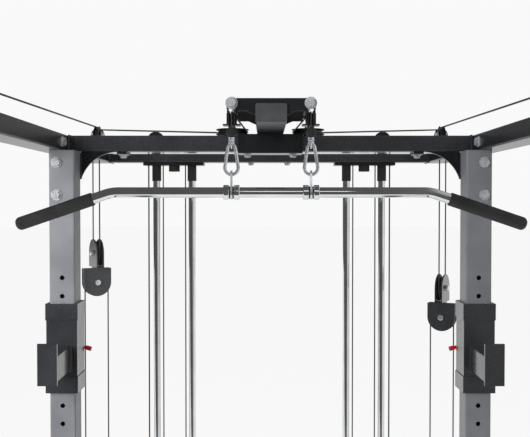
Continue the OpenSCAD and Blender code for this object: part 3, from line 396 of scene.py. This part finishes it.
def swept(name, path, radius, finish, body, sides=20, closed=False):
    """A round section carried along a path: each ring lies across the path's direction."""
    path = np.asarray(path, float)
    radius = np.broadcast_to(np.asarray(radius, float), len(path))
    along = np.roll(path, -1, 0) - np.roll(path, 1, 0) if closed else np.gradient(path, axis=0)
    along /= np.linalg.norm(along, axis=1, keepdims=True)
    # The ring starts from the axis that the path leans on least and swings about least
    lean = np.abs(along).max(axis=0) + 0.01 * np.ptp(along, axis=0)
    side = np.cross(along, np.eye(3)[int(np.argmin(lean))])
    side /= np.linalg.norm(side, axis=1, keepdims=True)
    up = np.cross(side, along)
    t = np.linspace(0, 2 * math.pi, sides, endpoint=False)
    ring = side[:, None] * np.cos(t)[None, :, None] + up[:, None] * np.sin(t)[None, :, None]
    return grid_mesh(name, path[:, None] + ring * radius[:, None, None], finish, body, closed)


def turned(name, origin, axis, heights, radii, finish, body, sides=24):
    """A profile turned about an axis: each ring stands at its height on the axis, with its own radius."""
    axis = np.asarray(axis, float) / np.linalg.norm(axis)
    side = np.cross(axis, np.eye(3)[int(np.argmin(np.abs(axis)))])
    side /= np.linalg.norm(side)
    t = np.linspace(0, 2 * math.pi, sides, endpoint=False)[:, None]
    ring = np.cos(t) * side + np.sin(t) * np.cross(axis, side)
    heights, radii = (np.asarray(v, float)[:, None, None] for v in (heights, radii))
    return grid_mesh(name, np.asarray(origin, float) + heights * axis + radii * ring, finish, body)


def straight(p, q, steps):
    """Points from p to q."""
    p, q = np.asarray(p), np.asarray(q)
    return p[None] + np.linspace(0, 1, steps)[:, None] * (q - p)[None]


def arc(centre, across, up, radius, a0, a1, steps):
    """Points on an arc about centre, from a0 to a1 radians, counted from across towards up."""
    t = np.linspace(a0, a1, steps)[:, None]
    return np.asarray(centre) + radius * (np.cos(t) * np.asarray(across) + np.sin(t) * np.asarray(up))


class TrainerSizes(PropertyGroup):
    """Sizes and tones that a user may change."""

    cable_diameter: FloatProperty(
        name="Cable", description="Diameter of the coated cable", default=0.0044, unit="LENGTH")
    grip_diameter: FloatProperty(
        name="Grip", description="Diameter of the rubber grips of the bar", default=0.032, unit="LENGTH")
    wire_diameter: FloatProperty(
        name="Snap wire", description="Diameter of the snap hook wire", default=0.008, unit="LENGTH")
    floor_tone: FloatVectorProperty(
        name="Floor", description="Tone of the studio floor", default=linear("F4F4F4")[:3],
        subtype="COLOR", size=3)


class TRAINER_OT_finish(Operator):
    """Gives every solid of the frame its finish"""

    bl_idname = "trainer.finish"
    bl_label = "Finish the solids"

    def execute(self, context):
        make_finishes()
        for finish, nodes in NODE_FINISH.items():
            for name in nodes:
                slots = frame["nodes"][name].data.materials
                slots.clear()
                slots.append(FINISHES[finish])
        return {"FINISHED"}


class TRAINER_OT_bar(Operator):
    """Makes the bent chrome lat bar and its rubber grips"""

    bl_idname = "trainer.bar"
    bl_label = "Lat bar and grips"

    def half(self):
        """Right half of the centre line: the arc of the bend, and the direction and length of the fall."""
        centre = (BEND_START, BAR_Y, BAR_Z - BEND_RADIUS)
        bend = arc(centre, UP, RIGHT, BEND_RADIUS, 0, BEND_ANGLE, 12)
        fall = np.array([math.cos(BEND_ANGLE), 0, -math.sin(BEND_ANGLE)])
        return bend, fall, (BAR_REACH - bend[-1][0]) / fall[0]

    def execute(self, context):
        bend, fall, length = self.half()
        end = straight(bend[-1], bend[-1] + fall * (length - TUBE_SHORT), 8)[1:]
        half = np.vstack([bend, end])
        mirrored = half[::-1] * np.array([-1, 1, 1])
        path = np.vstack([mirrored, straight(mirrored[-1], half[0], 20)[1:-1], half])
        bar = swept("lat_bar_tube", path, BAR_DIAMETER / 2, "chrome", "lat_bar", 40)
        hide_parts("lat_bar")
        r = context.scene.trainer.grip_diameter / 2
        dome = np.linspace(0, math.pi / 2, 9)[:-1]
        rise, inset = np.array(GRIP_LIP).T
        heights = np.r_[GRIP_START, GRIP_START + rise, length - GRIP_ROUND + GRIP_ROUND * np.sin(dome)]
        radii = np.r_[0.5 * BAR_DIAMETER, r - inset, r - GRIP_ROUND + GRIP_ROUND * np.cos(dome)]
        for side, sign in SIDES:
            mirror = np.array([sign, 1, 1])
            grip = turned(f"bar_grip_{side}", bend[-1] * mirror, fall * mirror, heights, radii, "rubber",
                          "lat_bar", 40)
            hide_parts("lat_grips")
        return {"FINISHED"}


class TRAINER_OT_snaps(Operator):
    """Makes the snap hooks, ball stops and crimped cable ends"""

    bl_idname = "trainer.snaps"
    bl_label = "Snap hooks and cable ends"

    def loop(self, x, top, bottom):
        """A pear-shaped loop: a small arc over a large one, joined by their outer tangents."""
        lean = math.asin((SNAP_LARGE - SNAP_SMALL) / (top - bottom))
        head = arc((x, BAR_Y, top), RIGHT, UP, SNAP_SMALL, lean, math.pi - lean, 14)
        foot = arc((x, BAR_Y, bottom), RIGHT, UP, SNAP_LARGE, math.pi - lean, 2 * math.pi + lean, 26)
        down, back = straight(head[-1], foot[0], 8), straight(foot[-1], head[0], 8)
        return np.vstack([head, down[1:-1], foot, back[1:-1]])

    def execute(self, context):
        wire = context.scene.trainer.wire_diameter
        low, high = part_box("carabiners")
        top, bottom = high[2] - wire / 2 - SNAP_SMALL, low[2] + wire / 2 + SNAP_LARGE
        ball_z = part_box("cable_ends")[1][2] - BALL_RADIUS
        rise, r = np.array(CRIMP_PROFILE).T / 1000
        t = np.linspace(-math.pi / 2, math.pi / 2, 17)
        for side, sign in SIDES:
            x = sign * LAT_X
            snap = swept(f"snap_hook_{side}", self.loop(x, top, bottom), wire / 2, "zinc", "lat_bar",
                         16, closed=True)
            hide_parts("carabiners")
            centre = (x, BAR_Y, ball_z)
            stop = turned(f"ball_stop_{side}", centre, UP, BALL_RADIUS * np.sin(t),
                          np.maximum(BALL_RADIUS * np.cos(t), BALL_BORE), "rubber", "lat_bar", 28)
            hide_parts("cable_ends")
            turned(f"cable_crimp_{side}", centre, UP, rise - CRIMP_FALL, r, "zinc", "lat_bar", 20)
            ring = arc((x, BAR_Y, high[2] - wire / 2), AWAY, UP, LOOP_RADIUS, 0, 2 * math.pi, 25)[:-1]
            swept(f"cable_eye_{side}", ring, LOOP_WIRE, "zinc", "lat_bar", 10, closed=True)
        return {"FINISHED"}


class TRAINER_OT_plates(Operator):
    """Makes the wing plates of the lat head and the gussets under the cross beam"""

    bl_idname = "trainer.plates"
    bl_label = "Wing plates and gussets"

    def plate(self, name, outline, y, thick, node):
        """A flat plate: a closed outline of X and Z carried from y to y + thick."""
        rows = [np.insert(outline, 1, at, axis=1) for at in (y, y + thick)]
        piece = grid_mesh(name, np.stack(rows), "deep_black", "root")
        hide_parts(node)

    def wing(self):
        """Flat top, round corners over the pivots, notches for the cables, an edge that falls to the boom."""
        across, up = (1, 0), (0, 1)
        corner = arc((LAT_X, PIVOT_Z), across, up, WING_TOP - PIVOT_Z, math.pi / 2, 0, 10)
        foot = arc((LAT_X + WING_FOOT_OUT, WING_MID + WING_FOOT), across, up, WING_FOOT, 0, -math.pi / 2, 6)
        notch = arc((LAT_X, PIVOT_Z - NOTCH_FALL), across, up, NOTCH_HALF, 0, math.pi, 12)
        edge = [(LAT_X - NOTCH_HALF, WING_MID), (WING_BREAK, WING_MID), (BOOM_HALF, WING_LOW)]
        half = np.vstack([corner, foot, [(LAT_X + NOTCH_HALF, WING_MID)], notch, edge])
        return np.vstack([half, half[::-1] * [-1, 1]])

    def gusset(self):
        """Two straight edges along the upright and the beam, joined by a concave arc."""
        radius = (GUSSET_WIDTH ** 2 + GUSSET_HEIGHT ** 2) / (2 * GUSSET_HEIGHT)
        start = math.asin(1 - GUSSET_HEIGHT / radius)
        centre = (UPRIGHT_IN - GUSSET_WIDTH, BEAM_Z - radius)
        edge = arc(centre, (1, 0), (0, 1), radius, start, math.pi / 2, 24)
        return np.vstack([[(UPRIGHT_IN, BEAM_Z)], edge, [(edge[-1][0] - TAB_OUT, BEAM_Z)]])

    def tab(self):
        """The rectangle of the tab that bolts the gusset to the beam."""
        out, near = UPRIGHT_IN - GUSSET_WIDTH - TAB_OUT, UPRIGHT_IN - GUSSET_WIDTH + TAB_IN
        low = BEAM_Z - GUSSET_THICK
        return np.array([(out, low), (near, low), (near, BEAM_Z), (out, BEAM_Z)])

    def execute(self, context):
        for k, y in enumerate(WING_Y):
            self.plate(f"wing_plate_{k}", self.wing(), y, WING_THICK, "wing_plates")
        for side, sign in SIDES:
            self.plate(f"gusset_{side}", self.gusset() * [sign, 1], CROSS_Y, GUSSET_THICK, "gussets")
            self.plate(f"gusset_tab_{side}", self.tab() * [sign, 1], CROSS_Y, TAB_DEEP, "gussets")
        return {"FINISHED"}


class TRAINER_OT_eyes(Operator):
    """Makes the eye plates of the bar and the chrome collars beside them"""

    bl_idname = "trainer.eyes"
    bl_label = "Eye plates and collars"

    def eye(self, x):
        """A plate round bar and eye: in each direction its edge is the farther of the two circles."""
        t = np.linspace(0, 2 * math.pi, 64, endpoint=False)
        way = np.stack([np.cos(t), np.sin(t)], -1)
        bar, top = np.array([BAR_Y, BAR_Z]), np.array([BAR_Y, BAR_Z + EYE_RISE])
        wide = COLLAR_RADIUS - EYE_SHY
        farther = way @ top + EYE_NARROW > way @ bar + wide
        outer = np.where(farther[:, None], top + EYE_NARROW * way, bar + wide * way)
        hole = top + EYE_HOLE * way
        near, far = x - EYE_THICK / 2, x + EYE_THICK / 2
        edges = ((outer, near), (outer, far), (hole, far), (hole, near))
        return np.stack([np.insert(loop, 0, at, axis=1) for loop, at in edges])

    def execute(self, context):
        r, bore = COLLAR_RADIUS, 0.5 * BAR_DIAMETER + COLLAR_SLIP
        rise = np.array([0, COLLAR_STEP, COLLAR_STEP + COLLAR_EDGE])
        heights = np.r_[COLLAR_GAP + rise, COLLAR_END - rise[::-1]]
        radii = (bore, r - COLLAR_EDGE, r, r, r - COLLAR_EDGE, bore)
        half = COLLAR_GAP + BUSH_PAST
        for side, sign in SIDES:
            at = (sign * LAT_X, BAR_Y, BAR_Z)
            plate = grid_mesh(f"bar_eye_{side}", self.eye(at[0]), "zinc", "lat_bar", closed=True)
            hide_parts("bar_eyes")
            bush = turned(f"eye_bush_{side}", at, RIGHT, (-half, half), (BUSH_RADIUS, BUSH_RADIUS), "nylon",
                          "lat_bar", 32)
            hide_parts("bar_eyes")
            for k, end in enumerate((-1, 1)):
                collar = turned(f"bar_collar_{side}_{k}", at, (end, 0, 0), heights, radii, "chrome",
                                "lat_bar", 40)
                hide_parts("bar_eyes")
        return {"FINISHED"}


class TRAINER_OT_hardware(Operator):
    """Makes the zinc cap nuts of the pulley axles and the weld beads of the frame"""

    bl_idname = "trainer.hardware"
    bl_label = "Cap nuts and welds"

    def nut(self, name, at, axis, body):
        """A round cap nut that covers the end of an axle: straight flank, then a quarter-round edge."""
        t = np.linspace(0, math.pi / 2, 6)
        heights = np.r_[0, NUT_HEIGHT - NUT_EDGE + NUT_EDGE * np.sin(t)]
        radii = np.r_[NUT_RADIUS, NUT_RADIUS - NUT_EDGE + NUT_EDGE * np.cos(t)]
        turned(f"{name}_cap", at, axis, heights, radii, "zinc", body, 28)

    def bead(self, name, first, second, axis, at, body):
        """A rippled weld bead round a rectangle across an axis: its radius rises and falls every 4 mm."""
        (a0, a1), (b0, b1) = first, second
        corners = np.insert([(a0, b0), (a1, b0), (a1, b1), (a0, b1)], axis, at, axis=1)
        runs = [straight(p, q, max(4, int(np.linalg.norm(q - p) / BEAD_STEP)))[:-1]
                for p, q in zip(corners, np.roll(corners, -1, axis=0))]
        loop = np.vstack(runs)
        walk = np.r_[0, np.cumsum(np.linalg.norm(np.diff(loop, axis=0), axis=1))]
        radius = BEAD_RADIUS * (1 + BEAD_SWELL * np.sin(2 * math.pi * walk / BEAD_RIPPLE))
        swept(name, loop, radius, "black", body, 8, closed=True)

    def nuts(self, side, sign):
        """Both ends of the axles of the floating block, the stack pulley and the swivel pulley."""
        across = np.array([sign * math.cos(FLOAT_YAW), math.sin(FLOAT_YAW), 0])
        away = np.array([sign * math.sin(FLOAT_YAW), -math.cos(FLOAT_YAW), 0])
        low = np.array([sign * FLOAT_AT[0], FLOAT_AT[1], FLOAT_Z[side]])
        high = low + [0, 0, FLOAT_SPAN]
        stack = np.array(JOINTS[f"stack_pulley_{side}_spin"]["pos_m"])
        swivel = np.array([sign * COLUMN_CABLE[0], COLUMN_CABLE[1] - GUIDE_PITCH, CARRIAGE_Z[side]])
        for k, end in enumerate((-1, 1)):
            for name, middle, axis, body in (
                    (f"float_{side}_low_{k}", low, end * away, f"float_{side}"),
                    (f"float_{side}_high_{k}", high, end * across, f"float_{side}"),
                    (f"stack_{side}_axle_{k}", stack, end * np.array(AWAY), f"stack_{side}"),
                    (f"swivel_{side}_axle_{k}", swivel, end * np.array(RIGHT), f"swivel_{side}")):
                self.nut(name, middle + CHEEK_OUT * axis, axis, body)

    def welds(self, side, sign):
        """Beads at the columns, the cross tubes and the hook's arm, and a seam along the gusset."""
        column = [sign * x for x in COLUMN_X]
        for k, z in enumerate(COLUMN_ENDS):
            self.bead(f"column_weld_{side}_{k}", column, COLUMN_Y, 2, z, "root")
        for name, depth, height in RAIL_WELDS:
            self.bead(f"{name}_weld_{side}", depth, height, 0, sign * RAIL_IN, "root")
        x, y = sign * UPRIGHT_IN, CROSS_Y - SEAM_RADIUS
        seam = straight((x, y, BEAM_Z - GUSSET_HEIGHT), (x, y, BEAM_Z - SEAM_SHORT), 60)
        ripple = 1 + SEAM_SWELL * np.sin(np.linspace(0, 40 * math.pi, 60))
        swept(f"gusset_weld_{side}", seam, SEAM_RADIUS * ripple, "deep_black", "root", 10)
        self.bead(f"hook_weld_{side}", [sign * x for x in ARM_X], ARM_Z, 1, ARM_Y, f"hook_{side}")

    def execute(self, context):
        for side, sign in SIDES:
            self.nuts(side, sign)
            self.welds(side, sign)
        return {"FINISHED"}


class TRAINER_OT_cables(Operator):
    """Makes the cable strands and the turns that ride on the blocks and pulleys"""

    bl_idname = "trainer.cables"
    bl_label = "Cables"

    def strand(self, name, p, q, bodies, node, sign):
        """A straight strand from p to q. The argument bodies is not used."""
        p, q = (np.array(v) * np.array([sign, 1, 1]) for v in (p, q))
        piece = swept(name, straight(p, q, 30), self.radius, "cable", None, 10)
        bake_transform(piece)
        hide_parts(node)

    def turn(self, name, path, body, node, sign):
        """A curved stretch that rides on one body."""
        piece = swept(name, path * np.array([sign, 1, 1]), self.radius, "cable", body, 10)
        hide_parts(node)

    def execute(self, context):
        self.radius = context.scene.trainer.cable_diameter / 2
        for side, sign in SIDES:
            self.lat_run(side, sign)
            self.float_runs(side, sign)
            self.stack_runs(side, sign)
            self.carriage_runs(side, sign)
        return {"FINISHED"}

    def lat_run(self, side, sign):
        """To the lat pulley, round it to its rim on the swivel, and past a knee in the ball stop."""
        swivel, node = f"lat_swivel_{side}", "cable_lat"
        pulley = np.array(JOINTS[f"lat_pulley_{side}_spin"]["pos_m"]) * np.array([sign, 1, 1])
        over = arc(pulley, AWAY, UP, pulley[1] - BAR_Y, math.pi / 2, math.pi, 10)
        end = np.array([LAT_X, BAR_Y, float(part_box(node)[0][2])])
        rim = over[-1] - [0, 0, LAT_RIM]
        knee = rim + LAT_KNEE * (end - rim)
        bend = np.vstack([over, straight(over[-1], rim, 6)[1:]])
        self.strand(f"cable_{side}_lat_run", FLAT_EXIT, over[0], ("root", swivel), node, sign)
        self.turn(f"cable_{side}_lat_turn", bend, swivel, node, sign)
        self.strand(f"cable_{side}_lat_neck", knee, rim, ("root", swivel), node, sign)
        self.strand(f"cable_{side}_lat_drop", knee, end, ("root", "lat_bar"), node, sign)

    def float_runs(self, side, sign):
        """Two strands above the floating block, two below it, and a turn round each sheave."""
        body, node = f"float_{side}", f"cable_float_{side}"
        ends = ("root", body)
        across = np.array([math.cos(FLOAT_YAW), math.sin(FLOAT_YAW), 0])
        away = np.array([math.sin(FLOAT_YAW), -math.cos(FLOAT_YAW), 0])
        middle = np.array([*FLOAT_AT, 0.0])
        z = FLOAT_Z[side]
        low, high, guide, base = ([0, 0, at] for at in (z, z + FLOAT_SPAN, GUIDE_Z, BASE_Z))
        for k, end in enumerate((-1, 1)):
            p = middle + end * BIG_PITCH * away
            q = middle + end * BIG_PITCH * across
            self.strand(f"cable_{side}_float_up_{k}", p + guide, p + high, ends, node, sign)
            self.strand(f"cable_{side}_float_down_{k}", q + base, q + low, ends, node, sign)
        under = arc(middle + high, away, UP, BIG_PITCH, math.pi, 2 * math.pi, 20)
        over = arc(middle + low, across, UP, BIG_PITCH, 0, math.pi, 20)
        self.turn(f"cable_{side}_float_under", under, body, node, sign)
        self.turn(f"cable_{side}_float_over", over, body, node, sign)

    def stack_runs(self, side, sign):
        """Down to the stack's pulley, round it, and up to the anchor under the top plate."""
        body, node = f"stack_{side}", f"cable_stack_{side}"
        z = JOINTS[f"stack_pulley_{side}_spin"]["pos_m"][2]
        for k, (x, top) in enumerate(((STACK_X - BIG_PITCH, STACK_TOP), (STACK_X + BIG_PITCH, GUIDE_Z))):
            high, low = (x, STACK_Y, top), (x, STACK_Y, z)
            self.strand(f"cable_{side}_stack_{k}", high, low, ("root", body), node, sign)
        under = arc((STACK_X, STACK_Y, z), RIGHT, UP, BIG_PITCH, math.pi, 2 * math.pi, 20)
        self.turn(f"cable_{side}_stack_under", under, body, node, sign)

    def carriage_runs(self, side, sign):
        """Up from the base over the swivel pulley to the handle, and from the carriage to the top."""
        node, ends = f"cable_carriage_{side}", ("root", f"carriage_{side}")
        x, y = COLUMN_CABLE
        z = CARRIAGE_Z[side]
        top = z + CARRIAGE_ANCHOR
        self.strand(f"cable_{side}_column_low", (x, y, BASE_Z), (x, y, z), ends, node, sign)
        self.strand(f"cable_{side}_column_high", (x, y, GUIDE_Z), (x, y, top), ends, node, sign)
        over = arc((x, y - GUIDE_PITCH, z), AWAY, UP, GUIDE_PITCH, 0, math.pi, 20)
        ball = JOINTS[f"handle_{side}_swing"]["pos_m"][2] + HANDLE_BALL
        drop = straight(over[-1], (x, y - 2 * GUIDE_PITCH, ball), 4)[1:]
        self.turn(f"cable_{side}_handle", np.vstack([over, drop]), f"swivel_{side}", node, sign)


class TRAINER_OT_stage(Operator):
    """Makes the camera, the soft studio light and the pale floor"""

    bl_idname = "trainer.stage"
    bl_label = "Stage"

    def execute(self, context):
        scene = context.scene
        scene.view_settings.view_transform = "Standard"
        self.camera(scene)
        for lamp in LAMPS:
            self.light(*lamp)
        self.world(scene)
        self.floor(scene.trainer)
        return {"FINISHED"}

    def camera(self, scene):
        """The photograph's camera, from its focal length in pixels."""
        camera = bpy.data.cameras.new("camera")
        camera.sensor_width = SENSOR_MM
        camera.lens = FOCAL_PIXELS / PHOTO_WIDTH * SENSOR_MM
        camera.clip_end = CAMERA_FAR
        eye = bpy.data.objects.new("camera", camera)
        eye.location = CAMERA_AT
        eye.rotation_euler = (math.pi / 2 + CAMERA_PITCH, 0, 0)
        scene.collection.objects.link(eye)
        scene.camera = eye

    def light(self, name, at, to, size, power, mirrored):
        """A square softbox that faces the point to; only a mirrored one shows in polished metal."""
        lamp = bpy.data.lights.new(name, "AREA")
        lamp.size = size
        lamp.energy = power
        obj = bpy.data.objects.new(name, lamp)
        obj.location = at
        obj.visible_glossy = mirrored
        aim = np.asarray(to) - np.asarray(at)
        obj.rotation_euler = (math.acos(-aim[2] / np.linalg.norm(aim)), 0, math.atan2(-aim[0], aim[1]))
        bpy.context.scene.collection.objects.link(obj)

    def world(self, scene):
        """White to the camera; polished metal sees a white backdrop, a lit right and a dark front."""
        world = bpy.data.worlds.new("studio")
        world.use_nodes = True
        tree = world.node_tree
        path = add(tree, "ShaderNodeLightPath").outputs
        way = add(tree, "ShaderNodeSeparateXYZ", {0: add(tree, "ShaderNodeTexCoord").outputs["Generated"]})
        backdrop, panel = (
            add(tree, "ShaderNodeMapRange", {"Value": way.outputs[axis]}, From_Min=start, From_Max=stop,
                To_Min=ROOM_TONE, To_Max=tone, interpolation_type="SMOOTHSTEP").outputs[0]
            for axis, (start, stop), tone in (("Y", BACKDROP_EDGE, WHITE), ("X", PANEL_EDGE, PANEL_TONE)))
        studio = add(tree, "ShaderNodeMath", {0: backdrop, 1: panel}, operation="MAXIMUM")
        light = add(tree, "ShaderNodeMapRange",
                    {"Value": path["Is Glossy Ray"], "To Max": studio.outputs[0]}, To_Min=AMBIENT)
        seen = add(tree, "ShaderNodeMath", {0: path["Is Camera Ray"], 1: path["Is Transmission Ray"]},
                   operation="MAXIMUM")
        level = add(tree, "ShaderNodeMapRange", {"Value": seen.outputs[0], "To Min": light.outputs[0]},
                    To_Max=WHITE)
        back = tree.nodes["Background"]
        back.inputs["Color"].default_value = (1, 1, 1, 1)
        tree.links.new(level.outputs[0], back.inputs["Strength"])
        scene.world = world

    def floor(self, tones):
        """A pale floor that is nearly white where it is seen, and still takes shadow."""
        x, front, back = FLOOR_REACH
        mesh = bpy.data.meshes.new("studio_floor")
        mesh.from_pydata([(-x, front, 0), (x, front, 0), (x, back, 0), (-x, back, 0)], [], [(0, 1, 2, 3)])
        # Matte studio paint: no highlight, only the soft shadow of the machine
        m, tree, shader, _ = new_material("studio_floor_paint")
        shader.inputs["Base Color"].default_value = [*tones.floor_tone, 1]
        shader.inputs["Roughness"].default_value = 0.9
        path = add(tree, "ShaderNodeLightPath").outputs
        eye = add(tree, "ShaderNodeMath", {0: path["Is Camera Ray"], 1: path["Is Glossy Ray"]},
                  operation="MAXIMUM")
        share = add(tree, "ShaderNodeMath", {0: eye.outputs[0]}, operation="MULTIPLY")
        share.inputs[1].default_value = FLOOR_GLOW
        glow = add(tree, "ShaderNodeEmission", Strength=1.0)
        mix = add(tree, "ShaderNodeMixShader",
                  {0: share.outputs[0], 1: shader.outputs[0], 2: glow.outputs[0]})
        tree.links.new(mix.outputs[0], tree.nodes["Material Output"].inputs["Surface"])
        mesh.materials.append(m)
        obj = bpy.data.objects.new("studio_floor", mesh)
        bpy.context.scene.collection.objects.link(obj)


class TRAINER_PT_panel(Panel):
    """Lists the sizes and the steps in the sidebar"""

    bl_label = "Functional trainer"
    bl_idname = "TRAINER_PT_panel"
    bl_space_type = "VIEW_3D"
    bl_region_type = "UI"
    bl_category = "Trainer"

    def draw(self, context):
        for name in ("cable_diameter", "grip_diameter", "wire_diameter", "floor_tone"):
            self.layout.prop(context.scene.trainer, name)
        for step in STEPS:
            self.layout.operator(step.bl_idname)


STEPS = (TRAINER_OT_finish, TRAINER_OT_stage, TRAINER_OT_plates, TRAINER_OT_bar, TRAINER_OT_eyes,
         TRAINER_OT_snaps, TRAINER_OT_hardware, TRAINER_OT_cables)
CLASSES = (TrainerSizes, *STEPS, TRAINER_PT_panel)


def register():
    """Registers the classes and the scene's sizes."""
    for cls in CLASSES:
        bpy.utils.register_class(cls)
    bpy.types.Scene.trainer = PointerProperty(type=TrainerSizes)


def unregister():
    """Takes the classes and the sizes away."""
    del bpy.types.Scene.trainer
    for cls in reversed(CLASSES):
        bpy.utils.unregister_class(cls)


def main():
    """Runs every step in order."""
    register()
    for step in STEPS:
        group, name = step.bl_idname.split(".")
        getattr(getattr(bpy.ops, group), name)()


if __name__ == "__main__":
    main()
